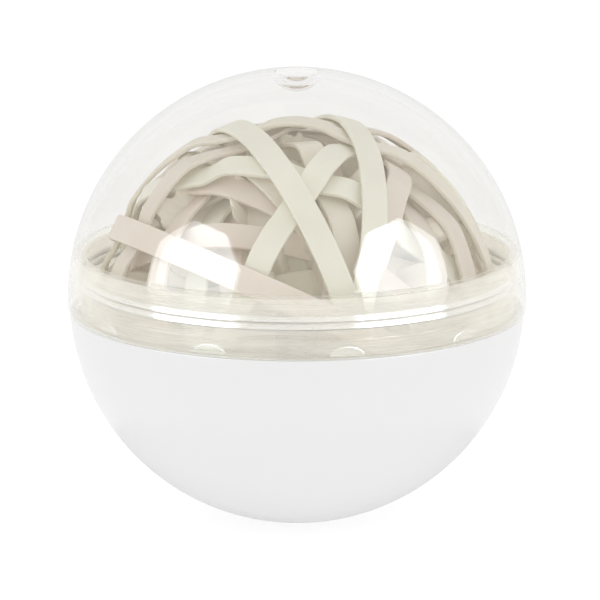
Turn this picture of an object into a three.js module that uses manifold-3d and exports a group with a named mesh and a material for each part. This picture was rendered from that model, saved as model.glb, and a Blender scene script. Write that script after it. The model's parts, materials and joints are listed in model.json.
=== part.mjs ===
// A ball of rubber bands in a round desk capsule, in millimetres, with +Z up.
//
// The capsule is two shells. A white bowl stands on a small flat foot, and a clear dome with a moulded
// dimple at its crown lifts straight off it. A clear collar is pressed into the bowl's mouth. It stands up
// inside the dome's skirt, with two snap beads, and ten half-round pads that centre the dome.
// Inside lies the winding: a core of the first bands, and then single bands, each stretched right round
// the ball over all the bands before it.
//
// The origin is the middle of the foot, on the surface that the capsule stands on.

import * as THREE from "three";
import { mergeVertices } from "three/addons/utils/BufferGeometryUtils.js";
import Module from "manifold-3d";

const wasm = await Module();
wasm.setup();

// ---- Driving dimensions ----

const DOME_RADIUS = 40; // outside of the clear dome
const BOWL_RADIUS = 39.7; // outside of the white bowl, a step inside the dome
const DOME_WALL = 1.7;
const BOWL_WALL = 2;
const FOOT_RADIUS = 8; // the flat under the bowl

const SEAM_Z = -2; // the dome's lower edge; heights are from the middle of the sphere
const SEAM_GAP = 0.15; // between the dome's edge and the bowl's edge
const LEDGE_Z = 8.5; // where the dome's wall thins to make room for the collar
const COLLAR_TOP_Z = 7.6;
const SOCKET_Z = -6.3; // floor of the collar's seat in the bowl
const FIT_GAP = 0.3; // between pieces that fit into each other

const SKIRT_BORE = 38.3; // inside of the dome's skirt
const COLLAR_WALL = 1;
const BEAD_HEIGHT = FIT_GAP; // how far a snap bead or a pad stands out of the collar
const BEAD_HALF_WIDTH = 0.45;
const BEAD_ZS = [3, 4.3];
const COLLAR_CHAMFER = 0.4;

const PAD_COUNT = 10;
const PAD_HALF_WIDTH = 3;
const PAD_RISE = 1.7;
const PAD_START_DEG = 13; // turn of the first pad from -Y, towards +X
const PAD_ROOT = 0.6; // how deep a pad reaches into the collar's wall

const DIMPLE_RADIUS = 3.7; // at its mouth
const DIMPLE_DEPTH = 2.3;
const DIMPLE_WALL = 1.2;
const LIP_ROUND = 0.45; // how far the mouth's edge is rounded, each way

const WINDING_Z = -2.45; // middle of the winding, which lies in the bottom of the bowl
const WINDING_RADIUS = 36; // sideways
const WINDING_HEIGHT = 34.9; // upwards, a little flatter
const BAND_WIDTH = 4.6;
const BAND_THICKNESS = 0.9;
const BAND_GAP = 0.3; // air left between two bands where they cross
const BAND_SLOPE = 0.35; // steepest dip of a band
const SIDE_SAG = 0.5; // how far the last band's straight sides may cut inside its true curve
const SAG_GROWTH = 0.05; // how much further those of each band before it may
const CORE_DEPTH = 4; // how far the core stays below the winding's outside

// The bands in the order they go on, over the core. A band lies in a plane through the middle of the
// winding, and its pole is the line square to that plane: [heading from +X, height above level], in degrees.
const BAND_POLES = [
  [-39, 39],
  [-13, 65],
  [2, -1],
  [113, 65],
  [-11, 9],
  [-15, 24],
  [-30, 19],
  [81, 51],
  [85, 19],
  [-40, 19],
  [51, 35],
  [29, 24],
  [12, -7],
  [20, 2],
  [69, 30],
  [40, -17],
  [59, -6],
  [158, 20],
  [-170, 30],
  [115, -2],
  [80, 4],
  [-164, 16],
  [19, 17],
  [29, 62],
];

// ---- Sizes worked out from them ----

const SPHERE_HEIGHT = Math.sqrt(BOWL_RADIUS ** 2 - FOOT_RADIUS ** 2); // sphere's middle above the foot
const BOWL_INSIDE = BOWL_RADIUS - BOWL_WALL;
const DOME_INSIDE = DOME_RADIUS - DOME_WALL;
const COLLAR_RADIUS = SKIRT_BORE - BEAD_HEIGHT - FIT_GAP; // outside of the collar between its beads
const AROUND = 40; // facets round each shell

// ---- Materials ----

const clearPlastic = new THREE.MeshStandardMaterial({
  color: 0xf3f3f0,
  roughness: 0.08,
  metalness: 0,
  transparent: true,
  opacity: 0.25,
});
const whitePlastic = new THREE.MeshStandardMaterial({
  color: 0xf2f2f2,
  roughness: 0.25,
  metalness: 0,
});
const rubber = new THREE.MeshStandardMaterial({
  color: 0xdcd6c8,
  roughness: 0.7,
  metalness: 0,
});

// ---- Profiles and solids of revolution ----

const degrees = THREE.MathUtils.degToRad;

// Height of a sphere's surface above its middle, at a distance from the axis; and the other way round.
const sphereSide = (radius, other) => Math.sqrt(radius ** 2 - other ** 2);

// Points of an arc about (0, middle), from one angle to another. Angles are from +Z, towards +X.
function arc(middle, radius, from, to, steps) {
  return Array.from({ length: steps + 1 }, (_, i) => {
    const angle = from + ((to - from) * i) / steps;
    return new THREE.Vector2(radius * Math.sin(angle), middle + radius * Math.cos(angle));
  });
}

// A profile turned about Z. Its points are (distance from the axis, height).
function turned(profile) {
  return new THREE.LatheGeometry(profile, AROUND).rotateX(Math.PI / 2);
}

function mesh(name, geometry, material) {
  const made = new THREE.Mesh(geometry, material);
  made.name = name;
  return made;
}

// ---- Clear dome ----

function domeProfile() {
  const mouthZ = sphereSide(DOME_RADIUS, DIMPLE_RADIUS);
  const dishRadius = (DIMPLE_RADIUS ** 2 + DIMPLE_DEPTH ** 2) / (2 * DIMPLE_DEPTH);
  const dishZ = mouthZ - DIMPLE_DEPTH + dishRadius;
  const underRadius = dishRadius + DIMPLE_WALL;

  // Where the dimple's underside meets the inside of the dome.
  const meetZ = (DOME_INSIDE ** 2 - underRadius ** 2 + dishZ ** 2) / (2 * dishZ);
  const meetRadius = sphereSide(DOME_INSIDE, meetZ);

  const dishEdge = Math.asin((DIMPLE_RADIUS - LIP_ROUND) / dishRadius);
  const crownEdge = Math.asin((DIMPLE_RADIUS + LIP_ROUND) / DOME_RADIUS);
  const dish = arc(dishZ, dishRadius, Math.PI, Math.PI - dishEdge, 3);
  const crown = arc(0, DOME_RADIUS, crownEdge, Math.acos(SEAM_Z / DOME_RADIUS), 9);
  const lip = new THREE.QuadraticBezierCurve(
    dish.at(-1),
    new THREE.Vector2(DIMPLE_RADIUS, mouthZ),
    crown[0],
  ).getPoints(3);
  const ledge = Math.acos(LEDGE_Z / DOME_INSIDE);
  return [
    ...dish,
    ...lip.slice(1, -1),
    ...crown,
    new THREE.Vector2(SKIRT_BORE, SEAM_Z),
    new THREE.Vector2(SKIRT_BORE, LEDGE_Z),
    ...arc(0, DOME_INSIDE, ledge, Math.asin(meetRadius / DOME_INSIDE), 8),
    ...arc(dishZ, underRadius, Math.PI - Math.asin(meetRadius / underRadius), Math.PI, 3).slice(1),
  ].reverse();
}

// ---- White bowl ----

function bowlProfile() {
  const rimZ = SEAM_Z - SEAM_GAP;
  const socketRadius = COLLAR_RADIUS + FIT_GAP;
  return [
    ...arc(0, BOWL_INSIDE, Math.PI, Math.acos(SOCKET_Z / BOWL_INSIDE), 8),
    new THREE.Vector2(socketRadius, SOCKET_Z),
    new THREE.Vector2(socketRadius, rimZ),
    ...arc(0, BOWL_RADIUS, Math.acos(rimZ / BOWL_RADIUS), Math.PI - Math.asin(FOOT_RADIUS / BOWL_RADIUS), 8),
    new THREE.Vector2(0, -SPHERE_HEIGHT),
  ].reverse();
}

// ---- Clear collar ----

function collarProfile() {
  const inside = COLLAR_RADIUS - COLLAR_WALL;
  const bottom = SOCKET_Z + FIT_GAP;
  const beads = BEAD_ZS.flatMap((z) => [
    new THREE.Vector2(COLLAR_RADIUS, z - BEAD_HALF_WIDTH),
    new THREE.Vector2(COLLAR_RADIUS + BEAD_HEIGHT, z - BEAD_HALF_WIDTH / 3),
    new THREE.Vector2(COLLAR_RADIUS + BEAD_HEIGHT, z + BEAD_HALF_WIDTH / 3),
    new THREE.Vector2(COLLAR_RADIUS, z + BEAD_HALF_WIDTH),
  ]);
  const corners = [
    new THREE.Vector2(inside, bottom),
    new THREE.Vector2(COLLAR_RADIUS, bottom),
    ...beads,
    new THREE.Vector2(COLLAR_RADIUS, COLLAR_TOP_Z - COLLAR_CHAMFER),
    new THREE.Vector2(COLLAR_RADIUS - COLLAR_CHAMFER, COLLAR_TOP_Z),
    new THREE.Vector2(inside, COLLAR_TOP_Z),
  ];
  return [...corners, corners[0]];
}

// A thick half-round block, flat side down on the seam, at an angle about Z.
function padBlock(angle) {
  const outline = new THREE.Shape().absellipse(0, 0, PAD_HALF_WIDTH, PAD_RISE, 0, Math.PI);
  return new THREE.ExtrudeGeometry(outline, { depth: COLLAR_RADIUS, bevelEnabled: false, curveSegments: 5 })
    .rotateX(Math.PI / 2)
    .translate(0, -COLLAR_RADIUS / 2, SEAM_Z)
    .rotateZ(angle);
}

// A ring that is as thick as the pads, from inside the collar's wall outwards.
function padRing() {
  const inside = COLLAR_RADIUS - PAD_ROOT;
  const outside = COLLAR_RADIUS + BEAD_HEIGHT;
  const corners = [
    new THREE.Vector2(inside, SEAM_Z - PAD_RISE),
    new THREE.Vector2(outside, SEAM_Z - PAD_RISE),
    new THREE.Vector2(outside, SEAM_Z + 2 * PAD_RISE),
    new THREE.Vector2(inside, SEAM_Z + 2 * PAD_RISE),
  ];
  return turned([...corners, corners[0]]);
}

// ---- Joining with manifold-3d ----

function solid(geometry) {
  const bare = geometry.clone();
  bare.deleteAttribute("normal");
  bare.deleteAttribute("uv");
  const merged = mergeVertices(bare, 1e-3);
  return new wasm.Manifold(
    new wasm.Mesh({
      numProp: 3,
      vertProperties: merged.attributes.position.array,
      triVerts: new Uint32Array(merged.index.array),
    }),
  );
}

function geometryOf(manifold) {
  const { vertProperties, triVerts } = manifold.getMesh();
  const geometry = new THREE.BufferGeometry();
  geometry.setAttribute("position", new THREE.BufferAttribute(new Float32Array(vertProperties), 3));
  geometry.setIndex(new THREE.BufferAttribute(new Uint32Array(triVerts), 1));
  return geometry.toNonIndexed();
}

function collarGeometry() {
  const ring = solid(padRing());
  let collar = solid(turned(collarProfile()));
  for (let i = 0; i < PAD_COUNT; i++) {
    const angle = degrees(PAD_START_DEG + (i * 360) / PAD_COUNT);
    collar = collar.add(solid(padBlock(angle)).intersect(ring));
  }
  return geometryOf(collar);
}

// ---- Winding ----

const Y_AXIS = new THREE.Vector3(0, 1, 0);
const STEPS = 360; // places round a band where it feels what lies over it
const STEP = (2 * Math.PI) / STEPS;
const LONGEST_SIDE = 12; // steps between two of a band's stations
const ACROSS = 9; // points across a band at each of its places
const CORE_DETAIL = 7;

// Radius of the winding's outside in a direction, which is a unit vector.
function windingReach(direction) {
  const sideways = Math.hypot(direction.x, direction.y);
  return 1 / Math.hypot(sideways / WINDING_RADIUS, direction.z / WINDING_HEIGHT);
}

// Distance from the middle to the straight line between two stations, part of the way along it.
function chord(from, to, span, angle) {
  return (from * to * Math.sin(span)) / (from * Math.sin(span - angle) + to * Math.sin(angle));
}

// Outside radius of a band at an angle round it, between two of its stations.
function outsideOf(band, angle) {
  const turned = THREE.MathUtils.euclideanModulo(angle, 2 * Math.PI);
  const found = band.stations.findIndex((station) => station.angle > turned);
  const next = found < 0 ? band.stations.length - 1 : found;
  const from = band.stations[next - 1];
  const to = band.stations[next];
  return chord(from.radius, to.radius, to.angle - from.angle, turned - from.angle);
}

// How far from the middle there is room in a direction, under the bands that are already placed.
function room(direction, placed) {
  let nearest = windingReach(direction);
  for (const band of placed) {
    const local = direction.clone().applyQuaternion(band.untilt);
    const level = Math.hypot(local.x, local.z);
    const under = outsideOf(band, Math.atan2(local.x, local.z)) - BAND_THICKNESS - BAND_GAP;
    const aside = Math.abs((under * local.y) / level);
    if (aside < BAND_WIDTH / 2 + BAND_GAP) nearest = Math.min(nearest, under / level);
  }
  return nearest;
}

// The room for a band's outside, over its whole width, at a guess of its radius there.
function roomAcross(tilt, angle, guess, placed) {
  let radius = guess;
  for (let j = 0; j < ACROSS; j++) {
    const aside = BAND_WIDTH * (j / (ACROSS - 1) - 0.5);
    const direction = new THREE.Vector3(Math.sin(angle), aside / guess, Math.cos(angle))
      .normalize()
      .applyQuaternion(tilt);
    radius = Math.min(radius, sphereSide(room(direction, placed), aside));
  }
  return radius;
}

function roomRound(tilt, placed) {
  return Array.from({ length: STEPS }, (_, i) => {
    const first = roomAcross(tilt, i * STEP, WINDING_RADIUS, placed);
    return roomAcross(tilt, i * STEP, first, placed);
  });
}

// A stretched band can't dip steeply, so its outline falls and rises by no more than BAND_SLOPE.
function eased(radii) {
  const even = [...radii];
  const rise = 1 + BAND_SLOPE * STEP;
  for (let i = 0; i < 2 * STEPS; i++) {
    const here = i % STEPS;
    const next = (i + 1) % STEPS;
    even[next] = Math.min(even[next], even[here] * rise);
  }
  for (let i = 2 * STEPS; i > 0; i--) {
    const here = i % STEPS;
    const next = (i - 1) % STEPS;
    even[next] = Math.min(even[next], even[here] * rise);
  }
  return even;
}

// The fewest stations whose straight sides stay just inside the outline.
function stationsIn(outline, sag) {
  const radiusAt = (i) => outline[i % STEPS] - sag / 4;
  const fits = (from, to) => {
    for (let k = from + 1; k < to; k++) {
      const side = chord(radiusAt(from), radiusAt(to), (to - from) * STEP, (k - from) * STEP);
      if (side > outline[k] || side < outline[k] - sag) return false;
    }
    return true;
  };
  const stations = [{ angle: 0, radius: radiusAt(0) }];
  let start = 0;
  while (start < STEPS) {
    let end = start + 1;
    while (end < STEPS && end - start < LONGEST_SIDE && fits(start, end + 1)) end++;
    stations.push({ angle: end * STEP, radius: radiusAt(end) });
    start = end;
  }
  return stations;
}

function windBand(pole, placed) {
  const tilt = new THREE.Quaternion().setFromUnitVectors(Y_AXIS, pole);
  const sag = SIDE_SAG + SAG_GROWTH * placed.length;
  const stations = stationsIn(eased(roomRound(tilt, placed)), sag);
  return { tilt, untilt: tilt.clone().invert(), stations };
}

// A flat ring about Y whose stations are then moved out to the band's own radii.
function bandGeometry(band) {
  const sides = band.stations.length - 1;
  const corners = [
    new THREE.Vector2(1, -BAND_WIDTH / 2),
    new THREE.Vector2(1 + BAND_THICKNESS, -BAND_WIDTH / 2),
    new THREE.Vector2(1 + BAND_THICKNESS, BAND_WIDTH / 2),
    new THREE.Vector2(1, BAND_WIDTH / 2),
    new THREE.Vector2(1, -BAND_WIDTH / 2),
  ];
  const ring = new THREE.LatheGeometry(corners, sides);
  const position = ring.attributes.position;
  for (let i = 0; i < position.count; i++) {
    const station = band.stations[Math.floor(i / corners.length) % sides];
    const radius = station.radius + corners[i % corners.length].x - 1 - BAND_THICKNESS;
    const { angle } = station;
    position.setXYZ(i, radius * Math.sin(angle), position.getY(i), radius * Math.cos(angle));
  }
  return ring;
}

// The core fills the space under the bands. Each corner stays below all that lies within one edge of it.
function coreRadius(corner, placed) {
  const edge = 1.25 / (CORE_DETAIL + 1);
  const turn = new THREE.Quaternion().setFromUnitVectors(Y_AXIS, corner);
  let radius = windingReach(corner) - CORE_DEPTH;
  for (const spread of [0, edge / 2, edge]) {
    for (let i = 0; i < 12; i++) {
      const near = new THREE.Vector3().setFromSphericalCoords(1, spread, (i * Math.PI) / 6);
      radius = Math.min(radius, room(near.applyQuaternion(turn), placed) - BAND_GAP);
    }
  }
  return radius;
}

function coreGeometry(placed) {
  const ball = new THREE.IcosahedronGeometry(1, CORE_DETAIL);
  ball.deleteAttribute("normal");
  ball.deleteAttribute("uv");
  const core = mergeVertices(ball, 1e-4);
  const position = core.attributes.position;
  for (let i = 0; i < position.count; i++) {
    const corner = new THREE.Vector3().fromBufferAttribute(position, i);
    corner.setLength(coreRadius(corner.normalize(), placed));
    position.setXYZ(i, corner.x, corner.y, corner.z);
  }
  return core;
}

function poleOf([heading, height]) {
  const level = Math.cos(degrees(height));
  return new THREE.Vector3(
    level * Math.cos(degrees(heading)),
    level * Math.sin(degrees(heading)),
    Math.sin(degrees(height)),
  );
}

// The bands are placed from the outermost inwards. Each keeps to the ball's round outside, and dips only
// where a band that was wound after it presses it down.
function winding() {
  const placed = [];
  for (const pole of [...BAND_POLES].reverse()) {
    placed.push(windBand(poleOf(pole), placed));
  }

  const group = new THREE.Group();
  group.add(mesh("wound_core", coreGeometry(placed), rubber));
  placed.reverse().forEach((band, i) => {
    const ring = mesh(`rubber_band_${String(i + 1).padStart(2, "0")}`, bandGeometry(band), rubber);
    ring.quaternion.copy(band.tilt);
    group.add(ring);
  });
  group.position.z = WINDING_Z;
  return group;
}

// ---- Assembly ----

const capsule = new THREE.Group();
capsule.position.z = SPHERE_HEIGHT;
capsule.add(
  mesh("clear_dome", turned(domeProfile()), clearPlastic),
  mesh("clear_collar", collarGeometry(), clearPlastic),
  mesh("white_bowl", turned(bowlProfile()), whitePlastic),
  winding(),
);

const rubberBandBall = new THREE.Group();
rubberBandBall.add(capsule);

export default rubberBandBall;
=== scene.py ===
# %% [markdown]
# # A ball of rubber bands in a round desk capsule
#
# The capsule has a white bowl below and a clear dome above, which lifts straight off. A clear collar
# stands in the bowl's mouth, inside the dome's skirt. Flat rubber bands are wound round and round into
# a ball that fills it.
#
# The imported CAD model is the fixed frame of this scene. Each piece made here rides on one of its bodies
# and stands for one or more of its nodes. All lengths are in metres, and the capsule stands on z = 0.

import json
import math

import bpy
from mathutils import Matrix, Vector
from mathutils.bvhtree import BVHTree

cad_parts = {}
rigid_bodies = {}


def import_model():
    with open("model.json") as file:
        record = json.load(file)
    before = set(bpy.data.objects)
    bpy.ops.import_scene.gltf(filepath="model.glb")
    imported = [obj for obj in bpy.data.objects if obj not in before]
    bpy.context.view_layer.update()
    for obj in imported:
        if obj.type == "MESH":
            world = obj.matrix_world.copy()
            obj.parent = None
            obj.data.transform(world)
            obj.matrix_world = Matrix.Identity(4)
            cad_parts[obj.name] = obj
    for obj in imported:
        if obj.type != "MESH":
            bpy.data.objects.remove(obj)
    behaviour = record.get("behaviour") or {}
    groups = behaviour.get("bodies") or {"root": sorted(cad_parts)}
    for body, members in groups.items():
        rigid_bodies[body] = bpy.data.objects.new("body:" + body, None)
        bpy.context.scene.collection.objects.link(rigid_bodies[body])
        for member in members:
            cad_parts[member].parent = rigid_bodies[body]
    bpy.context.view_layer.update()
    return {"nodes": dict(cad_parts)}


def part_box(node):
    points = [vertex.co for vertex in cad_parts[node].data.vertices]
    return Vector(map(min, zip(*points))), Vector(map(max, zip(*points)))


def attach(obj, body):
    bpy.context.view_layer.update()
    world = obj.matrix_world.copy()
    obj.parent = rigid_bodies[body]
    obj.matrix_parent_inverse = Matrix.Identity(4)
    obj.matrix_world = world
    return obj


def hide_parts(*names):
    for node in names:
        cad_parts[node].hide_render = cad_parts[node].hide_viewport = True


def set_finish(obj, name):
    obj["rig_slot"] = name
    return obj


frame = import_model()
print("nodes:", len(frame["nodes"]))

# %% [markdown]
# ## Sizes
#
# The wall sizes repeat the ones that the CAD was built from. They could be measured on the CAD meshes,
# but written out they can be read and changed. Heights are from the middle of the sphere, as in the
# CAD, and the middle itself is found from the dome's box, whose lowest corner is the seam.

# %% Driving sizes
MM = 0.001

DOME_RADIUS = 40 * MM
SEAM_Z = -2 * MM
MIDDLE = Vector((0, 0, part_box("clear_dome")[0].z - SEAM_Z))
BOWL_RADIUS = 39.7 * MM
DOME_WALL = 1.7 * MM
BOWL_WALL = 2 * MM
FOOT_RADIUS = 8 * MM

SEAM_GAP = 0.15 * MM
LEDGE_Z = 8.5 * MM
COLLAR_TOP_Z = 7.6 * MM
SOCKET_Z = -6.3 * MM
FIT_GAP = 0.3 * MM
SKIRT_BORE = 38.3 * MM
COLLAR_WALL = 1 * MM
COLLAR_RADIUS = 37.7 * MM
BEAD_ZS = [3 * MM, 4.3 * MM]
BEAD_HALF_WIDTH = 0.45 * MM

DIMPLE_RADIUS = 3.7 * MM
DIMPLE_DEPTH = 2.3 * MM
DIMPLE_WALL = 1.2 * MM
LIP_ROUND = 0.45 * MM

TURNS = 180  # steps of a spin, enough for a smooth clear wall
MERGE_REACH = 0.002 * MM  # points closer than this are one point
print(f"sphere of {DOME_RADIUS / MM:.2f} mm radius, middle at z = {MIDDLE.z / MM:.2f} mm")

# %% [markdown]
# ## Camera
#
# A long lens from a little above keeps the capsule almost without perspective, as in a catalogue view.
# An orthographic camera would lose the last of it, so a real lens is set far away instead.

# %% Camera
CAMERA_DISTANCE = 0.9
CAMERA_HEIGHT = math.radians(13)
SHOWN_WIDTH = 0.1048  # how much the frame takes in at the capsule's distance
AIM_RIGHT = 0.52 * MM
AIM_DOWN = 0.79 * MM

back = Vector((0, -math.cos(CAMERA_HEIGHT), math.sin(CAMERA_HEIGHT)))
right = Vector((1, 0, 0))
up = Vector((0, math.sin(CAMERA_HEIGHT), math.cos(CAMERA_HEIGHT)))
aim = MIDDLE + right * AIM_RIGHT - up * AIM_DOWN

bpy.ops.object.camera_add()
camera = bpy.context.object
camera.name = "camera"
camera.data.lens = camera.data.sensor_width * CAMERA_DISTANCE / SHOWN_WIDTH
camera.location = aim + back * CAMERA_DISTANCE
camera.rotation_euler = (-back).to_track_quat("-Z", "Y").to_euler()
camera.data.clip_start = 0.05
bpy.context.scene.camera = camera
print(f"camera with a {camera.data.lens:.0f} mm lens")

# %% [markdown]
# ## Helpers for modelling by hand
#
# The dome, the bowl and the collar are turned shapes. A sphere with a Solidify modifier could stand in
# for them, but its wall would have one thickness everywhere. So each starts from a plane that is merged
# to one point, the point is extruded along the wall's whole outline, and the outline is spun round the
# Z axis. The seam of the spin and its poles are then merged, and the faces are turned outwards.

# %% Arcs and turned pieces
def arc(middle, radius, start, end, steps):
    """Points (distance from the axis, height) of an arc round a height on the axis, angles from +Z."""
    angles = [start + (end - start) * i / steps for i in range(steps + 1)]
    return [(radius * math.sin(a), middle + radius * math.cos(a)) for a in angles]


def side(radius, other):
    """The other short side of a right triangle whose long side is a radius."""
    return math.sqrt(radius**2 - other**2)


def start_piece(name):
    """A plane shrunk to a single point at the sphere's middle, left in edit mode."""
    bpy.ops.object.select_all(action="DESELECT")
    bpy.ops.mesh.primitive_plane_add(size=MM)
    piece = bpy.context.object
    piece.name = name
    bpy.ops.object.mode_set(mode="EDIT")
    bpy.ops.mesh.select_mode(type="VERT")
    bpy.ops.mesh.select_all(action="SELECT")
    bpy.ops.mesh.merge(type="CENTER")
    bpy.ops.transform.translate(value=MIDDLE)
    return piece


def turned(name, outline):
    """Spins an outline of (distance from the axis, height above the middle) once round Z."""
    piece = start_piece(name)
    bpy.ops.transform.translate(value=(outline[0][0], 0, outline[0][1]))
    for (x0, z0), (x1, z1) in zip(outline, outline[1:]):
        bpy.ops.mesh.extrude_region_move(TRANSFORM_OT_translate={"value": (x1 - x0, 0, z1 - z0)})
    bpy.ops.mesh.select_all(action="SELECT")
    bpy.ops.mesh.spin(steps=TURNS, angle=math.tau, center=(0, 0, 0), axis=(0, 0, 1))
    bpy.ops.mesh.select_all(action="SELECT")
    bpy.ops.mesh.remove_doubles(threshold=MERGE_REACH)
    bpy.ops.mesh.normals_make_consistent(inside=False)
    bpy.ops.object.mode_set(mode="OBJECT")
    return piece


print("a quarter arc of radius 1:", [(round(x, 2), round(z, 2)) for x, z in arc(0, 1, 0, math.pi / 2, 2)])

# %% [markdown]
# Modifiers could stay live until the end. They are applied at once here, so that each piece is a plain
# mesh from then on, and its faces can be given different finishes. The last helper shades a piece,
# gives it its material and ties it to a body of the frame.

# %% Modifiers and finishing
def apply_modifier(piece, kind, **settings):
    """Adds a modifier with these settings and applies it."""
    bpy.context.view_layer.objects.active = piece
    modifier = piece.modifiers.new(kind.title(), kind)
    for key, value in settings.items():
        setattr(modifier, key, value)
    bpy.ops.object.modifier_apply(modifier=modifier.name)


def round_edges(piece, width, steps, sharper_than):
    """Rounds every edge that is sharper than an angle in degrees."""
    apply_modifier(piece, "BEVEL", width=width, segments=steps, limit_method="ANGLE",
                   angle_limit=math.radians(sharper_than))


def finish_piece(piece, body, nodes, slot, material, smooth=40):
    """Shades a piece smooth, gives it its material and ties it to the frame."""
    bpy.ops.object.select_all(action="DESELECT")
    piece.select_set(True)
    bpy.context.view_layer.objects.active = piece
    bpy.ops.object.shade_smooth_by_angle(angle=math.radians(smooth))
    piece.data.materials.clear()
    piece.data.materials.append(material)
    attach(piece, body)
    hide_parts(*nodes)
    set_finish(piece, slot)
    faces = len(piece.data.polygons)
    print(f"{piece.name}: {faces} faces on {body}")


# %% [markdown]
# ## Materials
#
# Every finish is built from nodes. Small helpers keep the node trees short. Image textures would need a
# file and an unwrapped mesh, so the patterns are noise, read in Object coordinates: they stay on the
# piece from every side.

# %% Material helpers
NOISE_LOW = 0.3
NOISE_HIGH = 0.7  # nearly all values of a noise texture lie between these two


def new_material(name):
    """An empty material with an output, and its nodes and links."""
    material = bpy.data.materials.new(name)
    material.use_nodes = True
    nodes = material.node_tree.nodes
    links = material.node_tree.links
    return material, nodes, links


def noise(nodes, links, scale, detail=2, stretch=(1, 1, 1)):
    """A noise of this many features per metre, in Object coordinates."""
    place = nodes.new("ShaderNodeTexCoord")
    mapping = nodes.new("ShaderNodeMapping")
    mapping.inputs["Scale"].default_value = stretch
    texture = nodes.new("ShaderNodeTexNoise")
    texture.inputs["Scale"].default_value = scale
    texture.inputs["Detail"].default_value = detail
    links.new(place.outputs["Object"], mapping.inputs["Vector"])
    links.new(mapping.outputs["Vector"], texture.inputs["Vector"])
    return texture


def spread(nodes, links, value, low, high):
    """Stretches a noise value to a range of numbers."""
    span = nodes.new("ShaderNodeMapRange")
    span.inputs["From Min"].default_value = NOISE_LOW
    span.inputs["From Max"].default_value = NOISE_HIGH
    span.inputs["To Min"].default_value = low
    span.inputs["To Max"].default_value = high
    links.new(value, span.inputs["Value"])
    return span.outputs["Result"]


def bump(nodes, links, height, shader, distance):
    """Feeds a height into a shader's normal."""
    node = nodes.new("ShaderNodeBump")
    node.inputs["Distance"].default_value = distance
    links.new(height, node.inputs["Height"])
    links.new(node.outputs["Normal"], shader.inputs["Normal"])


print(f"noise between {NOISE_LOW} and {NOISE_HIGH} is stretched to each finish's own range")

# %% [markdown]
# ### Clear plastic
#
# A refracting shader on thin double walls takes many bounces. The walls hardly bend the light that
# passes, so each surface is a simple mix instead: it lets most of the light straight through and
# mirrors a little, and more where it is seen edge on. Schlick's formula gives that share, as a fifth
# power.

# %% Mixing shares
def rising(nodes, links, power):
    """0 where a surface is seen square on, rising to 1 where it is seen edge on."""
    facing = nodes.new("ShaderNodeLayerWeight")
    facing.inputs["Blend"].default_value = 0.5
    rise = nodes.new("ShaderNodeMath")
    rise.operation = "POWER"
    rise.inputs[1].default_value = power
    links.new(facing.outputs["Facing"], rise.inputs[0])
    return rise.outputs[0]


def blended(nodes, links, factor, low, high):
    """A number between two ends. The lower end is a number or a socket."""
    blend = nodes.new("ShaderNodeMix")
    links.new(factor, blend.inputs["Factor"])
    blend.inputs["B"].default_value = high
    if isinstance(low, float):
        blend.inputs["A"].default_value = low
    else:
        links.new(low, blend.inputs["A"])
    return blend.outputs["Result"]


def mixed(nodes, links, share, under, over):
    """Two shaders mixed. The share of the second is a number or a socket."""
    mix = nodes.new("ShaderNodeMixShader")
    if isinstance(share, float):
        mix.inputs[0].default_value = share
    else:
        links.new(share, mix.inputs[0])
    links.new(under, mix.inputs[1])
    links.new(over, mix.inputs[2])
    return mix.outputs[0]


MIRROR_POWER = 5
MILK_POWER = 2
print(f"mirror rises with power {MIRROR_POWER}, milk with power {MILK_POWER}")

# %% [markdown]
# The dome's skirt and the collar are cloudier than the rest: they are full of fine level marks from the
# mould. A flat milky share would look like paint, so the milk comes in level streaks, and gets denser
# edge on, where the light passes through more of it. A slow, very low ripple breaks up the reflections,
# as on a moulded wall.


# %% Milk, haze and ripples
MIRROR_COLOR = (0.86, 0.86, 0.855, 1)
HAZE = (0.9, 0.9, 0.88, 1)
SHINE_THROUGH = 0.3  # how much of the milk's light comes from behind
HAZE_SPAN = 0.04
RIPPLE_HEIGHT = 0.02 * MM


def streaky_milk(nodes, links, least, most, edge_on):
    """A share of milk in fine level streaks, which gets denser where the wall is seen edge on."""
    streaks = noise(nodes, links, scale=50, detail=3, stretch=(1, 1, 20))
    share = spread(nodes, links, streaks.outputs["Fac"], least, most)
    return blended(nodes, links, rising(nodes, links, MILK_POWER), share, edge_on)


def mirror_layer(nodes, links, color, rough):
    """The gloss of a clear wall, a little uneven."""
    gloss = nodes.new("ShaderNodeBsdfGlossy")
    gloss.inputs["Color"].default_value = color
    haze = noise(nodes, links, scale=90, detail=3)
    roughness = spread(nodes, links, haze.outputs["Fac"], rough, rough + HAZE_SPAN)
    links.new(roughness, gloss.inputs["Roughness"])
    waves = noise(nodes, links, scale=60, detail=1)
    bump(nodes, links, waves.outputs["Fac"], gloss, distance=RIPPLE_HEIGHT)
    return gloss.outputs[0]


def milk_layer(nodes, links, color):
    """The milk in a clear wall, lit from the front and a little from behind."""
    front = nodes.new("ShaderNodeBsdfDiffuse")
    front.inputs["Color"].default_value = color
    through = nodes.new("ShaderNodeBsdfTranslucent")
    through.inputs["Color"].default_value = color
    return mixed(nodes, links, SHINE_THROUGH, front.outputs[0], through.outputs[0])


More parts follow.
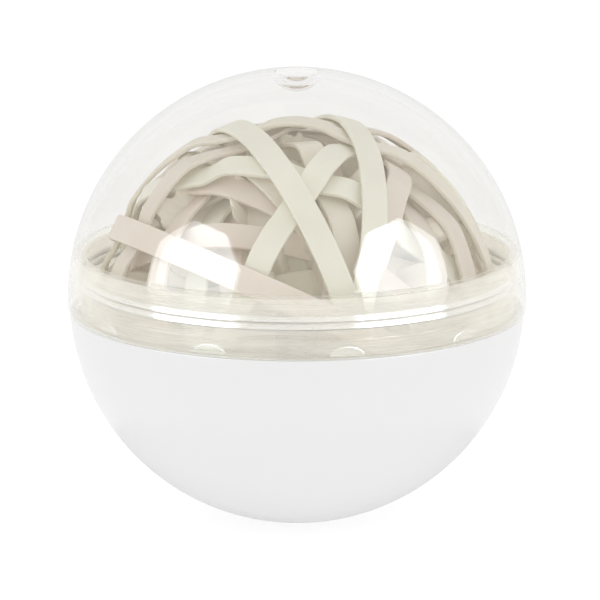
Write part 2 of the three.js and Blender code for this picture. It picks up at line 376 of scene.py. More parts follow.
def clear_plastic(name, tint, mirror, mirror_color=MIRROR_COLOR, milk=0.02, milk_color=HAZE, rough=0.02):
    """Mirror is a share, or one square on and one edge on. Milk is a share, or the three of the streaks."""
    material, nodes, links = new_material(name)
    nodes.remove(nodes["Principled BSDF"])
    gloss = mirror_layer(nodes, links, mirror_color, rough)
    body = nodes.new("ShaderNodeBsdfTransparent")
    body.inputs["Color"].default_value = tint
    cloudy = milk_layer(nodes, links, milk_color)
    if not isinstance(milk, float):
        milk = streaky_milk(nodes, links, *milk)
    if not isinstance(mirror, float):
        mirror = blended(nodes, links, rising(nodes, links, MIRROR_POWER), *mirror)
    seen = mixed(nodes, links, milk, body.outputs[0], cloudy)
    surface = mixed(nodes, links, mirror, seen, gloss)
    links.new(surface, nodes["Material Output"].inputs["Surface"])
    return material


print(f"ripples of {RIPPLE_HEIGHT / MM} mm")

# %% [markdown]
# The dome takes four of these finishes. Its wall is faintly grey. The inside of the dome keeps its low
# gloss seen edge on, because through a real wall its edge lies just behind the outer one. The skirt is
# milky on both sides, and its bore has less gloss for the same reason.

# %% Clear finishes of the dome
BRIGHT = (1, 1, 1, 1)
PALE = (0.97, 0.962, 0.93, 1)
SKIRT_TINT = (0.98, 0.98, 0.97, 1)
SKIRT_MILK = (0.16, 0.34, 0.45)

dome_plastic = clear_plastic("dome_plastic", (0.945, 0.942, 0.936, 1), (0.042, 1.0))
ceiling_plastic = clear_plastic("ceiling_plastic", BRIGHT, (0.042, 0.05))
skirt_plastic = clear_plastic(
    "skirt_plastic", SKIRT_TINT, (0.012, 1.0), milk=SKIRT_MILK, milk_color=PALE
)
skirt_bore_plastic = clear_plastic(
    "skirt_bore_plastic", SKIRT_TINT, (0.012, 0.02), milk=SKIRT_MILK, milk_color=PALE
)
print([plastic.name for plastic in (dome_plastic, ceiling_plastic, skirt_plastic, skirt_bore_plastic)])

# %% [markdown]
# The collar is creamier than the skirt. On a real bead the polished ramp bends the whole studio into
# one bright line, and the step under it draws a thin dark one. Refraction in the wall makes these
# lines, and this plastic doesn't refract. So the ramps get a strong mirror instead, and the steps a
# dark milk and a darker tint: painted shade for the thin dark line. The pads are clear, tinted a little
# darker as painted shade, and their rim is a white milk: a painted highlight for the bright outline
# that a clear pad's edge shows.

# %% Clear finishes of the collar
CREAM = (0.98, 0.957, 0.9, 1)
# SHADE is the dark milk of the bead steps: painted shade for the thin line under each bead
SHADE = (0.12, 0.11, 0.09, 1)

collar_plastic = clear_plastic(
    "collar_plastic", (0.98, 0.98, 0.965, 1), (0.04, 0.05), milk=(0.16, 0.32, 0.85), milk_color=CREAM
)
bead_plastic = clear_plastic(
    "bead_plastic", BRIGHT, 0.7, mirror_color=BRIGHT, milk=0.1, milk_color=CREAM, rough=0.08
)
# The steps' dark milk and darker tint are painted shade, standing in for the dark line that refraction
# draws.
line_plastic = clear_plastic("line_plastic", (0.8, 0.78, 0.72, 1), 0.04, milk=0.9, milk_color=SHADE)
# The pads' darker tint is painted shade inside their bright outline.
pad_plastic = clear_plastic(
    "pad_plastic", (0.93, 0.93, 0.9, 1), (0.04, 0.05), milk=0.15, milk_color=CREAM
)
# The rim's white milk is a painted highlight for the pads' bright outline.
rim_highlight_plastic = clear_plastic(
    "rim_highlight_plastic", BRIGHT, 0.6, mirror_color=BRIGHT, milk=0.9, milk_color=BRIGHT, rough=0.3
)
print([plastic.name for plastic in (collar_plastic, bead_plastic, line_plastic, pad_plastic, rim_highlight_plastic)])

# %% [markdown]
# The dimple in the crown is a small thick lens. It does bend the light, so the simple mix would hide
# it, and its plastic refracts.

# %% Plastic of the dimple
def lens_plastic():
    material, nodes, links = new_material("lens_plastic")
    shader = nodes["Principled BSDF"]
    shader.inputs["Base Color"].default_value = (0.96, 0.96, 0.955, 1)
    shader.inputs["Transmission Weight"].default_value = 1
    shader.inputs["IOR"].default_value = 1.49
    haze = noise(nodes, links, scale=400, detail=3)
    links.new(spread(nodes, links, haze.outputs["Fac"], 0.02, 0.08), shader.inputs["Roughness"])
    waves = noise(nodes, links, scale=300, detail=1)
    bump(nodes, links, waves.outputs["Fac"], shader, distance=RIPPLE_HEIGHT)
    return material


crown_plastic = lens_plastic()
print(crown_plastic.name)

# %% [markdown]
# ### White plastic
#
# The bowl is moulded in gloss white. A single flat white would look like paper, so its finish wavers a
# little, some light enters it, and a fine grain keeps the highlight soft.

# %% White plastic
def white_plastic():
    material, nodes, links = new_material("white_plastic")
    shader = nodes["Principled BSDF"]
    cloud = noise(nodes, links, scale=25, detail=3)
    tone = nodes.new("ShaderNodeMix")
    tone.data_type = "RGBA"
    tone.inputs["A"].default_value = (0.808, 0.808, 0.808, 1)
    tone.inputs["B"].default_value = (0.814, 0.814, 0.812, 1)
    links.new(cloud.outputs["Fac"], tone.inputs["Factor"])
    links.new(tone.outputs["Result"], shader.inputs["Base Color"])
    links.new(spread(nodes, links, cloud.outputs["Fac"], 0.3, 0.34), shader.inputs["Roughness"])
    shader.inputs["Specular IOR Level"].default_value = 0.4
    shader.inputs["Subsurface Weight"].default_value = 0.1
    shader.inputs["Subsurface Radius"].default_value = (2 * MM, 2 * MM, 2 * MM)
    shader.inputs["Subsurface Scale"].default_value = 1
    grain = noise(nodes, links, scale=1500)
    bump(nodes, links, grain.outputs["Fac"], shader, distance=0.004 * MM)
    return material


bowl_plastic = white_plastic()
print(bowl_plastic.name)

# %% [markdown]
# ### Rubber
#
# Natural rubber bands are matt, and each batch has its own shade, from a pinkish sand to a greenish
# cream. One recipe, given four pairs of colours, keeps the four materials more alike than making each
# one on its own. Slow clouds shift the shade along a band, and a fine grain stands for the powder on it.

# %% Rubber
def band_rubber(name, light, dark):
    material, nodes, links = new_material(name)
    shader = nodes["Principled BSDF"]
    cloud = noise(nodes, links, scale=90, detail=4)
    tone = nodes.new("ShaderNodeMix")
    tone.data_type = "RGBA"
    tone.inputs["A"].default_value = dark
    tone.inputs["B"].default_value = light
    links.new(spread(nodes, links, cloud.outputs["Fac"], 0, 1), tone.inputs["Factor"])
    links.new(tone.outputs["Result"], shader.inputs["Base Color"])
    grain = noise(nodes, links, scale=2500, detail=3)
    links.new(spread(nodes, links, grain.outputs["Fac"], 0.5, 0.7), shader.inputs["Roughness"])
    shader.inputs["Specular IOR Level"].default_value = 0.3
    shader.inputs["Subsurface Weight"].default_value = 0.15
    shader.inputs["Subsurface Radius"].default_value = (1.2 * MM, 0.9 * MM, 0.6 * MM)
    shader.inputs["Subsurface Scale"].default_value = 1
    bump(nodes, links, grain.outputs["Fac"], shader, distance=0.03 * MM)
    return material


rubbers = {
    "rose": band_rubber("rubber_rose", (0.78, 0.71, 0.63, 1), (0.74, 0.66, 0.57, 1)),
    "sand": band_rubber("rubber_sand", (0.72, 0.66, 0.57, 1), (0.67, 0.61, 0.52, 1)),
    "oat": band_rubber("rubber_oat", (0.76, 0.72, 0.62, 1), (0.72, 0.67, 0.57, 1)),
    "cream": band_rubber("rubber_cream", (0.80, 0.785, 0.68, 1), (0.76, 0.74, 0.63, 1)),
}
print(sorted(rubbers))

# %% [markdown]
# ## Clear dome
#
# The dome is one shell with a moulded dimple at its crown. The dimple could be pushed into a sphere,
# but the plastic under it is as thick as a real lens, so it is drawn too. The outline runs up the
# dimple's dish, over the rounded lip, down the outside to the seam, and back up the inside past the
# ledge where the skirt thins.

# %% Outline of the dome
LIP_STEPS = 8


def dome_outline():
    inside = DOME_RADIUS - DOME_WALL
    mouth_z = side(DOME_RADIUS, DIMPLE_RADIUS)
    dish = (DIMPLE_RADIUS**2 + DIMPLE_DEPTH**2) / (2 * DIMPLE_DEPTH)
    dish_z = mouth_z - DIMPLE_DEPTH + dish
    under = dish + DIMPLE_WALL
    meet_z = (inside**2 - under**2 + dish_z**2) / (2 * dish_z)
    meet = side(inside, meet_z)

    dish_edge = math.asin((DIMPLE_RADIUS - LIP_ROUND) / dish)
    crown_edge = math.asin((DIMPLE_RADIUS + LIP_ROUND) / DOME_RADIUS)
    bowl_of_dish = arc(dish_z, dish, math.pi, math.pi - dish_edge, steps=14)
    crown = arc(0, DOME_RADIUS, crown_edge, math.acos(SEAM_Z / DOME_RADIUS), steps=70)
    lip = []
    for i in range(1, LIP_STEPS):
        t = i / LIP_STEPS
        ends = [(1 - t) ** 2, 2 * t * (1 - t), t**2]
        points = [bowl_of_dish[-1], (DIMPLE_RADIUS, mouth_z), crown[0]]
        lip.append(tuple(sum(w * p[k] for w, p in zip(ends, points)) for k in (0, 1)))
    skirt = [(SKIRT_BORE, SEAM_Z), (SKIRT_BORE, LEDGE_Z)]
    ceiling = arc(0, inside, math.acos(LEDGE_Z / inside), math.asin(meet / inside), steps=60)
    underside = arc(dish_z, under, math.pi - math.asin(meet / under), math.pi, steps=14)
    return bowl_of_dish + lip + crown + skirt + ceiling + underside[1:]


outline = dome_outline()
print(f"dome outline of {len(outline)} points")

# %% Spin the dome
DOME_ROUND = 0.22 * MM

dome = turned("dome_shell", outline)
round_edges(dome, DOME_ROUND, steps=3, sharper_than=35)
finish_piece(dome, "dome", ["clear_dome"], "clear_plastic", dome_plastic)

# %% [markdown]
# The shell's parts could be separate pieces, but it is moulded in one. So its faces are sorted by their
# place, and take their finishes from further material slots.

# %% Finishes of the dome
CROWN_REACH = DIMPLE_RADIUS + 0.2 * MM
LEDGE_REACH = 0.1 * MM
SKIN = 0.3 * MM  # a face this close to the outside belongs to it
dome_finishes = [dome_plastic, skirt_plastic, crown_plastic, ceiling_plastic, skirt_bore_plastic]


def dome_finish(face):
    """Which plastic a face of the dome takes."""
    place = face.center - MIDDLE
    if place.z < LEDGE_Z + LEDGE_REACH:
        return skirt_plastic if place.length > DOME_RADIUS - SKIN else skirt_bore_plastic
    if math.hypot(place.x, place.y) < CROWN_REACH:
        return crown_plastic
    if place.length < DOME_RADIUS - DOME_WALL / 2:
        return ceiling_plastic
    return dome_plastic


for plastic in dome_finishes[1:]:
    dome.data.materials.append(plastic)
for face in dome.data.polygons:
    face.material_index = dome_finishes.index(dome_finish(face))
print(f"{len(dome.data.materials)} finishes on the dome")

# %% [markdown]
# ## White bowl
#
# The bowl is turned like the dome, so that the two meet at the seam with the same roundness. Its
# outline runs round its outside from the flat foot to the rim, down into the seat that holds the
# collar, and along the inside to the bottom.

# %% Outline of the bowl
BOWL_ROUND = 0.2 * MM


def bowl_outline():
    inside = BOWL_RADIUS - BOWL_WALL
    rim_z = SEAM_Z - SEAM_GAP
    seat = COLLAR_RADIUS + FIT_GAP
    foot = math.pi - math.asin(FOOT_RADIUS / BOWL_RADIUS)
    outside = arc(0, BOWL_RADIUS, foot, math.acos(rim_z / BOWL_RADIUS), steps=70)
    hollow = arc(0, inside, math.acos(SOCKET_Z / inside), math.pi, steps=50)
    return [(0, outside[0][1])] + outside + [(seat, rim_z), (seat, SOCKET_Z)] + hollow


bowl = turned("bowl_shell", bowl_outline())
round_edges(bowl, BOWL_ROUND, steps=3, sharper_than=35)
finish_piece(bowl, "base", ["white_bowl"], "white_plastic", bowl_plastic)

# %% [markdown]
# ## Clear collar
#
# The collar is a thin ring with two snap beads round its outside, each with a lead-in ramp, and one
# much fainter moulding line below them. The beads could be bevelled out of a plain tube, but in an
# outline each ramp keeps its angle, and with it the place of its bright line. Only edges flatter than
# 10 degrees are shaded smooth, so the ramps stay crisp.

# %% Outline of the collar
STEP_HEIGHT = 0.25 * MM
RAMP_HEIGHT = 0.8 * MM  # a bead's upper side slopes gently, so that the dome slides on
TOP_RAMP = (0.35 * MM, 0.8 * MM)
FAINT_LINE_Z = 1 * MM
FAINT_LINE_STAND = 0.1 * MM


def bead(z, stand):
    """A snap bead on the collar's outside: a step out at its foot, and a ramp above it."""
    foot = z - BEAD_HALF_WIDTH
    crest = foot + STEP_HEIGHT * stand / FIT_GAP
    ramp = RAMP_HEIGHT * stand / FIT_GAP
    return [(COLLAR_RADIUS, foot), (COLLAR_RADIUS + stand, crest), (COLLAR_RADIUS, crest + ramp)]


def collar_outline():
    bore = COLLAR_RADIUS - COLLAR_WALL
    bottom = SOCKET_Z + FIT_GAP
    across, down = TOP_RAMP
    corners = [(bore, bottom), (COLLAR_RADIUS, bottom)]
    corners += bead(FAINT_LINE_Z, FAINT_LINE_STAND)
    for z in BEAD_ZS:
        corners += bead(z, FIT_GAP)
    corners += [(COLLAR_RADIUS, COLLAR_TOP_Z - down), (COLLAR_RADIUS - across, COLLAR_TOP_Z)]
    corners += [(bore, COLLAR_TOP_Z)]
    return corners + corners[:1]


collar = turned("collar_ring", collar_outline())
finish_piece(collar, "base", ["clear_collar"], "clear_plastic", collar_plastic, smooth=10)

# %% [markdown]
# The faces of the beads are found by their place and by how far they tilt up or down.

# %% Finishes of the collar
BEAD_REACH = 1 * MM
RAMP_TILTS = (0.25, 0.6)  # the upward part of a ramp's normal
STEP_TILT = -0.6  # the steps under the beads face down by at least this much

collar_finishes = [collar_plastic, bead_plastic, line_plastic]

for plastic in collar_finishes[1:]:
    collar.data.materials.append(plastic)
for face in collar.data.polygons:
    outside = math.hypot(face.center.x, face.center.y) > COLLAR_RADIUS - SKIN
    on_bead = min(abs(face.center.z - MIDDLE.z - z) for z in BEAD_ZS) < BEAD_REACH
    if outside and on_bead and RAMP_TILTS[0] < face.normal.z < RAMP_TILTS[1]:
        face.material_index = collar_finishes.index(bead_plastic)
    # the steps under the beads take the painted shade of line_plastic
    elif outside and on_bead and face.normal.z < STEP_TILT:
        face.material_index = collar_finishes.index(line_plastic)
print(f"{len(collar.data.materials)} finishes on the collar")

# %% [markdown]
# ### Pads on the collar
#
# Ten low half-round pads stand on the collar just above the seam, and centre the dome. A boolean cut
# would leave ragged faces, so one pad is made by hand and copied. It starts as a flat cylinder on its
# side. Its lower half is cut away, it is squashed to a low half-round, its rim is bevelled, and it is
# bent round the collar. The ten pads are copies of it, turned about the axis.

# %% One pad
PAD_COUNT = 10
PAD_HALF_WIDTH = 3 * MM
PAD_RISE = 1.7 * MM
PAD_START = math.radians(13)
PAD_ROOT = 0.1 * MM  # how deep a pad reaches into the collar
PAD_SIDES = 48
PAD_ROUND = 0.25 * MM
PAD_FACE_TILT = 0.97  # a pad's face points straight out at least this much, and its rim less


def model_pad():
    bpy.ops.object.select_all(action="DESELECT")
    bpy.ops.mesh.primitive_cylinder_add(
        vertices=PAD_SIDES, radius=PAD_HALF_WIDTH, depth=FIT_GAP + PAD_ROOT
    )
    pad = bpy.context.object
    bpy.ops.object.mode_set(mode="EDIT")
    bpy.ops.mesh.select_all(action="SELECT")
    bpy.ops.transform.rotate(value=math.pi / 2, orient_axis="X", center_override=(0, 0, 0))
    bpy.ops.mesh.bisect(plane_co=(0, 0, 0), plane_no=(0, 0, 1), clear_inner=True, use_fill=True)
    bpy.ops.mesh.select_all(action="SELECT")
    bpy.ops.transform.resize(value=(1, 1, PAD_RISE / PAD_HALF_WIDTH), center_override=(0, 0, 0))
    stand = COLLAR_RADIUS + (FIT_GAP - PAD_ROOT) / 2
    bpy.ops.transform.translate(value=MIDDLE + Vector((0, -stand, SEAM_Z)))
    bpy.ops.mesh.normals_make_consistent(inside=False)
    bpy.ops.object.mode_set(mode="OBJECT")
    return pad


def bend_to_collar(piece):
    """Wraps a flat piece that stands in front of the axis round the collar."""
    for vertex in piece.data.vertices:
        out = -vertex.co.y
        angle = vertex.co.x / out
        vertex.co.x = out * math.sin(angle)
        vertex.co.y = -out * math.cos(angle)


first_pad = model_pad()
apply_modifier(first_pad, "BEVEL", width=PAD_ROUND, segments=2, limit_method="ANGLE")
bend_to_collar(first_pad)
print(f"pad of {len(first_pad.data.polygons)} faces")

# %% Ten pads
for i in range(PAD_COUNT):
    pad = bpy.data.objects.new(f"collar_pad_{i + 1:02d}", first_pad.data.copy())
    bpy.context.collection.objects.link(pad)
    turn = Matrix.Rotation(PAD_START + i * math.tau / PAD_COUNT, 4, "Z")
    pad.data.transform(turn)
    finish_piece(pad, "base", ["clear_collar"], "clear_plastic", pad_plastic)
    # rim faces take the white milk that paints the pads' bright outline: a painted highlight
    pad.data.materials.append(rim_highlight_plastic)
    for face in pad.data.polygons:
        level = Vector((face.center.x, face.center.y, 0)).normalized()
        if face.normal.dot(level) < PAD_FACE_TILT:
            face.material_index = 1
bpy.data.objects.remove(first_pad)
print(f"{PAD_COUNT} pads, {360 / PAD_COUNT:.0f} degrees apart")

# %% [markdown]
# ## Rubber bands
#
# A band could be a curve with a flat section, but a curve twists where it dips. Each band's route is
# settled in the CAD as a ring of flat stations, so a copy of that ring is used. It is merged, its four
# long edges are rounded, and a subdivision makes the straight stretches run smoothly over the bands
# below. A slow displacement then gives it the slight waviness of stretched rubber.

# %% One texture for the waviness
ripples = bpy.data.textures.new("band_ripples", "CLOUDS")
ripples.noise_scale = 9 * MM
print(ripples.name)


# %% A band from its CAD ring
BAND_ROUND = 0.24 * MM
WAVINESS = 0.16 * MM


def merged_copy(node, name):
    """A copy of a CAD node as its own object, with its loose triangles merged to quads."""
    bpy.ops.object.select_all(action="DESELECT")
    piece = bpy.data.objects.new(name, frame["nodes"][node].data.copy())
    bpy.context.collection.objects.link(piece)
    piece.select_set(True)
    bpy.context.view_layer.objects.active = piece
    bpy.ops.object.mode_set(mode="EDIT")
    bpy.ops.mesh.select_all(action="SELECT")
    bpy.ops.mesh.remove_doubles(threshold=MERGE_REACH)
    bpy.ops.mesh.tris_convert_to_quads(face_threshold=math.radians(60), shape_threshold=math.radians(120))
    bpy.ops.object.mode_set(mode="OBJECT")
    return piece


def make_band(number, shade):
    node = f"rubber_band_{number:02d}"
    band = merged_copy(node, f"band_{number:02d}")
    round_edges(band, BAND_ROUND, steps=2, sharper_than=50)
    apply_modifier(band, "SUBSURF", levels=2, render_levels=2)
    apply_modifier(band, "DISPLACE", texture=ripples, texture_coords="LOCAL", strength=WAVINESS)
    finish_piece(band, "base", [node], "band_rubber", rubbers[shade])
    return band


print(f"band edges rounded by {BAND_ROUND / MM:.2f} mm")

# %% [markdown]
# Every band could have one colour, but a box of natural bands is never even. The shades are listed in
# the order of winding.

# %% All bands, in the order in which they were wound
BAND_SHADES = [
    "oat", "oat", "cream", "cream", "oat", "rose", "cream", "rose", "oat", "rose", "rose", "oat",
    "rose", "oat", "cream", "sand", "sand", "cream", "sand", "sand", "oat", "cream", "cream", "rose",
]
bands = [make_band(i + 1, shade) for i, shade in enumerate(BAND_SHADES)]
print(f"{len(bands)} bands")

# %% [markdown]
# ## The inner winding
#
# Through the gaps between the bands, more bands show underneath. They could be smaller copies of the
# outer ones, but those would cut through them. So each is fitted: at every place round it, rays from
# the middle find how much room there is under the bands that lie over it. A stretched band can't dip
# steeply, so its radius changes by no more than a set slope. Each inner band keeps a hair deeper than
# the one before it, so that they cross in the order in which they were wound.

# %% Room under the bands
WINDING_DROP = 2.45 * MM  # the winding's middle lies this far below the capsule's
winding_middle = Vector((0, 0, MIDDLE.z - WINDING_DROP))
WINDING_RADIUS = 36 * MM
WINDING_HEIGHT = 34.9 * MM


def band_tree():
    """The CAD rings of all bands, for finding what lies over a place."""
    corners = []
    faces = []
    for number in range(1, len(bands) + 1):
        mesh = frame["nodes"][f"rubber_band_{number:02d}"].data
        first = len(corners)
        corners += [vertex.co.copy() for vertex in mesh.vertices]
        faces += [[first + i for i in face.vertices] for face in mesh.polygons]
    print(f"{len(faces)} faces to pass under")
    return BVHTree.FromPolygons(corners, faces)


tree = band_tree()


def winding_reach(direction):
    """Distance from the winding's middle to its round outside in a direction."""
    level = math.hypot(direction.x, direction.y)
    return 1 / math.hypot(level / WINDING_RADIUS, direction.z / WINDING_HEIGHT)


# %% [markdown]
# An inner band starts as an open cylinder of unit radius. Its points are moved out to the radii that
# the rays gave, and a Solidify modifier turns it into a flat band, inwards, so that its outside stays
# where it is.

# %% Inner bands
INNER_COUNT = 30
INNER_STEPS = 144
INNER_WIDTH = 4.6 * MM
INNER_THICKNESS = 0.9 * MM
INNER_GAP = 0.1 * MM
INNER_DEPTH = 0.3 * MM  # the first of them keeps this far below the winding's outside
INNER_DEPTH_STEP = 0.045 * MM
INNER_SLOPE = 0.9
INNER_ROUND = 0.22 * MM
POLE_STEP = 0.618  # close to the golden ratio's fraction, so that the poles' heights spread evenly
POLE_START = 0.21
HEADING_START = 0.4
ACROSS = [j / 6 for j in range(-3, 4)]  # where the rays go across a band, in shares of its width


def inner_pole(i):
    """One of a spread of directions over the upper half."""
    height = (i * POLE_STEP + POLE_START) % 1
    heading = i * math.pi * (3 - math.sqrt(5)) * 2 + HEADING_START
    level = side(1, height)
    return Vector((level * math.cos(heading), level * math.sin(heading), height))


def eased(radii):
    """Lowers a closed row of radii where it would rise too steeply."""
    rise = 1 + INNER_SLOPE * math.tau / len(radii)
    for order in (range(2 * len(radii)), range(2 * len(radii), 0, -1)):
        step = order.step
        for i in order:
            here = i % len(radii)
            after = (i + step) % len(radii)
            radii[after] = min(radii[after], radii[here] * rise)
    return radii


def inner_radii(tilt, depth):
    """How far out an inner band can lie at each step round it."""
    radii = []
    for i in range(INNER_STEPS):
        angle = math.tau * i / INNER_STEPS
        room = WINDING_RADIUS
        for share in ACROSS:
            aside = share * INNER_WIDTH / WINDING_RADIUS
            way = (tilt @ Vector((math.cos(angle), math.sin(angle), aside))).normalized()
            room = min(room, winding_reach(way) - depth)
            hit = tree.ray_cast(winding_middle, way)
            if hit[3] is not None:
                room = min(room, hit[3] - INNER_GAP - (depth - INNER_DEPTH))
        radii.append(room)
    return eased(radii)


def inner_band(i):
    """An open ring, moved out to its radii, then given its thickness inwards."""
    bpy.ops.object.select_all(action="DESELECT")
    bpy.ops.mesh.primitive_cylinder_add(
        vertices=INNER_STEPS, radius=1, depth=INNER_WIDTH, end_fill_type="NOTHING"
    )
    ring = bpy.context.object
    ring.name = f"inner_band_{i + 1:02d}"
    tilt = inner_pole(i).to_track_quat("Z", "Y").to_matrix()
    radii = inner_radii(tilt, INNER_DEPTH + INNER_DEPTH_STEP * i)
    for vertex in ring.data.vertices:
        angle = math.atan2(vertex.co.y, vertex.co.x) % math.tau
        radius = radii[round(angle / math.tau * INNER_STEPS) % INNER_STEPS]
        flat = Vector((vertex.co.x * radius, vertex.co.y * radius, vertex.co.z))
        vertex.co = winding_middle + tilt @ flat
    apply_modifier(ring, "SOLIDIFY", thickness=INNER_THICKNESS, offset=-1)
    return ring


INNER_SHADES = ["oat", "rose", "cream", "sand"]
for i in range(INNER_COUNT):
    ring = inner_band(i)
    round_edges(ring, INNER_ROUND, steps=2, sharper_than=50)
    shade = INNER_SHADES[i % len(INNER_SHADES)]
    finish_piece(ring, "base", ["wound_core"], "band_rubber", rubbers[shade])
print(f"{INNER_COUNT} inner bands")

# %% [markdown]
# ## The core
#
# Under all of the bands lies the first-wound part of the ball. A plain sphere would stick out through
# the bands, or let light through where they bridge others. So each point of a fine sphere is moved out
# until it almost touches the first band over it, or to a set depth. Along the middle of a band that
# bridges others, a narrow ridge rises to just under that band.

# %% The core
CORE_DEPTH = 1.7 * MM
CORE_GAP = 0.12 * MM
CORE_RAYS = 3
CORE_SPREAD = 0.4 * MM
RIDGE_RAYS = 5
RIDGE_SPREAD = 1.5 * MM
RIDGE_STEP = 0.8 * MM  # rays that differ by more than this hit more than one band
RAY_START = 50 * MM


def ways_round(direction, spread, count):
    """Directions in a small cone round a direction, this far apart from it on the winding's outside."""
    aside = direction.orthogonal() * spread / WINDING_RADIUS
    turns = [Matrix.Rotation(i * math.tau / count, 3, direction) for i in range(count)]
    return [(direction + turn @ aside).normalized() for turn in turns]


def base_reach(direction):
    """Just under the lowest band over a place, or a set depth below the outside."""
    ways = ways_round(direction, CORE_SPREAD, CORE_RAYS)
    hits = [tree.ray_cast(winding_middle, way)[3] for way in ways]
    rooms = [distance - CORE_GAP for distance in hits if distance is not None]
    if len(rooms) < CORE_RAYS:
        rooms.append(winding_reach(direction) - CORE_DEPTH)
    return min(rooms)


def ridge_reach(direction):
    """Just under the middle of the topmost band, or 0 away from it."""
    tops = []
    for way in ways_round(direction, RIDGE_SPREAD, RIDGE_RAYS):
        distance = tree.ray_cast(winding_middle + way * RAY_START, -way, RAY_START / 2)[3]
        if distance is None:
            return 0
        tops.append(RAY_START - distance)
    if max(tops) - min(tops) > RIDGE_STEP:
        return 0
    return min(tops) - INNER_THICKNESS - CORE_GAP


bpy.ops.object.select_all(action="DESELECT")
bpy.ops.mesh.primitive_ico_sphere_add(subdivisions=7, radius=1)
core = bpy.context.object
core.name = "core_ball"
for vertex in core.data.vertices:
    way = vertex.co.normalized()
    vertex.co = winding_middle + way * max(base_reach(way), ridge_reach(way))
apply_modifier(core, "SMOOTH", factor=0.5, iterations=3)
finish_piece(core, "base", ["wound_core"], "band_rubber", rubbers["oat"])

# %% [markdown]
# ## Studio
#
# Lamps alone would leave a glossy ball dark all round, so a white surround lights the capsule evenly.
# Light has to pass many clear walls before it comes back, which takes more bounces than usual.

# %% White surround
world = bpy.data.worlds.new("white_surround")
world.use_nodes = True
world.node_tree.nodes["Background"].inputs["Color"].default_value = (1, 1, 1, 1)
world.node_tree.nodes["Background"].inputs["Strength"].default_value = 1.0
bpy.context.scene.world = world
bpy.context.scene.view_settings.view_transform = "Standard"
bpy.context.scene.cycles.diffuse_bounces = 8
bpy.context.scene.cycles.max_bounces = 40
bpy.context.scene.cycles.transmission_bounces = 40
bpy.context.scene.cycles.glossy_bounces = 24
bpy.context.scene.cycles.transparent_max_bounces = 40
print(world.name)


# %% [markdown]
# The floor is plain and pale. It glows a little by itself, so that it stays almost white right under
# the capsule, where the surround doesn't reach.

# %% Floor
FLOOR_SIZE = 8


def floor_material():
    material, nodes, _ = new_material("studio_floor")
    shader = nodes["Principled BSDF"]
    shader.inputs["Base Color"].default_value = (0.5, 0.5, 0.5, 1)
    shader.inputs["Roughness"].default_value = 0.9
    shader.inputs["Specular IOR Level"].default_value = 0
    shader.inputs["Emission Color"].default_value = (1, 1, 1, 1)
    shader.inputs["Emission Strength"].default_value = 0.58
    return material


bpy.ops.object.select_all(action="DESELECT")
bpy.ops.mesh.primitive_plane_add(size=FLOOR_SIZE)
floor = bpy.context.object
floor.name = "studio_floor"
floor.data.materials.append(floor_material())
print(floor.name)

# %% [markdown]
# A white ball on a white floor has no edge. A grey card lies under the bowl, as a studio would do it,
# and darkens the rim of its lower side. It shows only in gloss, so that it is not seen itself and casts
# no shade.

# %% Grey card
CARD_RADIUS = 0.05
CARD_LIFT = 0.05 * MM


def show_in_gloss_only(thing):
    """Hides a thing from everything but reflections."""
    thing.visible_camera = False
    thing.visible_diffuse = False
    thing.visible_transmission = False
    thing.visible_shadow = False


def card_material():
    material, nodes, _ = new_material("grey_card")
    nodes["Principled BSDF"].inputs["Base Color"].default_value = (0.72, 0.72, 0.72, 1)
    nodes["Principled BSDF"].inputs["Specular IOR Level"].default_value = 0
    return material


bpy.ops.object.select_all(action="DESELECT")
bpy.ops.mesh.primitive_circle_add(
    vertices=64, radius=CARD_RADIUS, fill_type="NGON", location=(0, 0, CARD_LIFT)
)
bpy.ops.object.transform_apply(location=True)
card = bpy.context.object
card.name = "grey_card"
card.data.materials.append(card_material())
show_in_gloss_only(card)
print(card.name)

# %% [markdown]
# Two broad eight-sided soft boxes, left and right of the camera, draw the two window-like reflections
# on the dome. Area lamps are square or round, so these are glowing meshes. They show only in gloss, so
# that they don't shade the bowl. Their cool white makes up for the warm bands behind the reflections.

# %% Soft boxes
LAMP_DISTANCE = 2.5
LAMP_SIDES = 8
COOL_WHITE = (0.9, 0.95, 1, 1)


def lamp_material(brightness):
    material, nodes, links = new_material("soft_box")
    nodes.remove(nodes["Principled BSDF"])
    glow = nodes.new("ShaderNodeEmission")
    glow.inputs["Color"].default_value = COOL_WHITE
    glow.inputs["Strength"].default_value = brightness
    links.new(glow.outputs[0], nodes["Material Output"].inputs["Surface"])
    return material


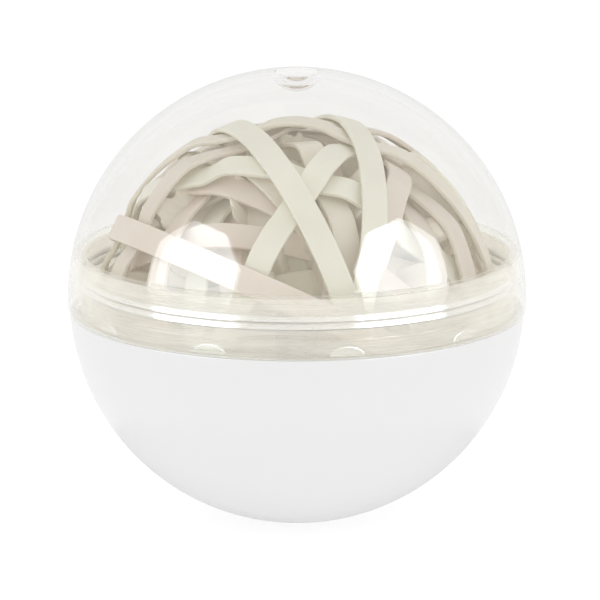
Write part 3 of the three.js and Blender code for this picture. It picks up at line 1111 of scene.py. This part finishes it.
def soft_box(name, across, height, wide, brightness):
    """An eight-sided lamp at angles across and above the line of sight, as wide as its third angle."""
    sideways = right * math.sin(across) * math.cos(height)
    towards = back * math.cos(across) * math.cos(height)
    direction = (sideways + towards + up * math.sin(height)).normalized()
    size = LAMP_DISTANCE * math.tan(wide / 2) / math.cos(math.pi / LAMP_SIDES)
    bpy.ops.object.select_all(action="DESELECT")
    bpy.ops.mesh.primitive_circle_add(vertices=LAMP_SIDES, radius=size, fill_type="NGON")
    bpy.ops.object.mode_set(mode="EDIT")
    bpy.ops.transform.rotate(value=math.pi / LAMP_SIDES, orient_axis="Z", center_override=(0, 0, 0))
    bpy.ops.object.mode_set(mode="OBJECT")
    lamp = bpy.context.object
    lamp.name = name
    lamp.data.transform(direction.to_track_quat("Z", "Y").to_matrix().to_4x4())
    lamp.data.transform(Matrix.Translation(MIDDLE + direction * LAMP_DISTANCE))
    lamp.data.materials.append(lamp_material(brightness))
    show_in_gloss_only(lamp)
    print(f"{name}: {2 * size:.2f} m across")


degrees = math.radians
soft_box("soft_box_left", across=degrees(-54.5), height=degrees(8), wide=degrees(47), brightness=7.5)
soft_box("soft_box_right", across=degrees(55.5), height=degrees(8), wide=degrees(49), brightness=8.5)

# %% [markdown]
# The gaps in a ball of bands swallow light, and so does the cloudy collar. A brighter surround would
# burn out the white bowl. So two broad lamps, left and right of the camera, are linked to the winding
# and the clear pieces only, and they cast no shadow.

# %% Fill lamps
FILL_SIZE = 1.2
FILL_RAISE = 0.2
lit = bpy.data.collections.new("lit_by_fill")
for piece in bpy.data.objects:
    if piece.get("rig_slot") in ("band_rubber", "clear_plastic"):
        lit.objects.link(piece)


def fill_lamp(name, across, power):
    """A broad lamp at an angle across the line of sight and a little above it."""
    direction = (right * math.sin(across) + back * math.cos(across) + up * FILL_RAISE).normalized()
    bpy.ops.object.light_add(type="AREA", location=MIDDLE + direction * LAMP_DISTANCE)
    lamp = bpy.context.object
    lamp.name = name
    lamp.rotation_euler = direction.to_track_quat("Z", "Y").to_euler()
    lamp.data.size = FILL_SIZE
    lamp.data.energy = power
    lamp.data.use_shadow = False
    lamp.visible_camera = False
    lamp.visible_glossy = False
    lamp.visible_transmission = False
    lamp.light_linking.receiver_collection = lit


fill_lamp("fill_lamp_left", across=degrees(-55), power=8)
fill_lamp("fill_lamp_right", across=degrees(55), power=8)
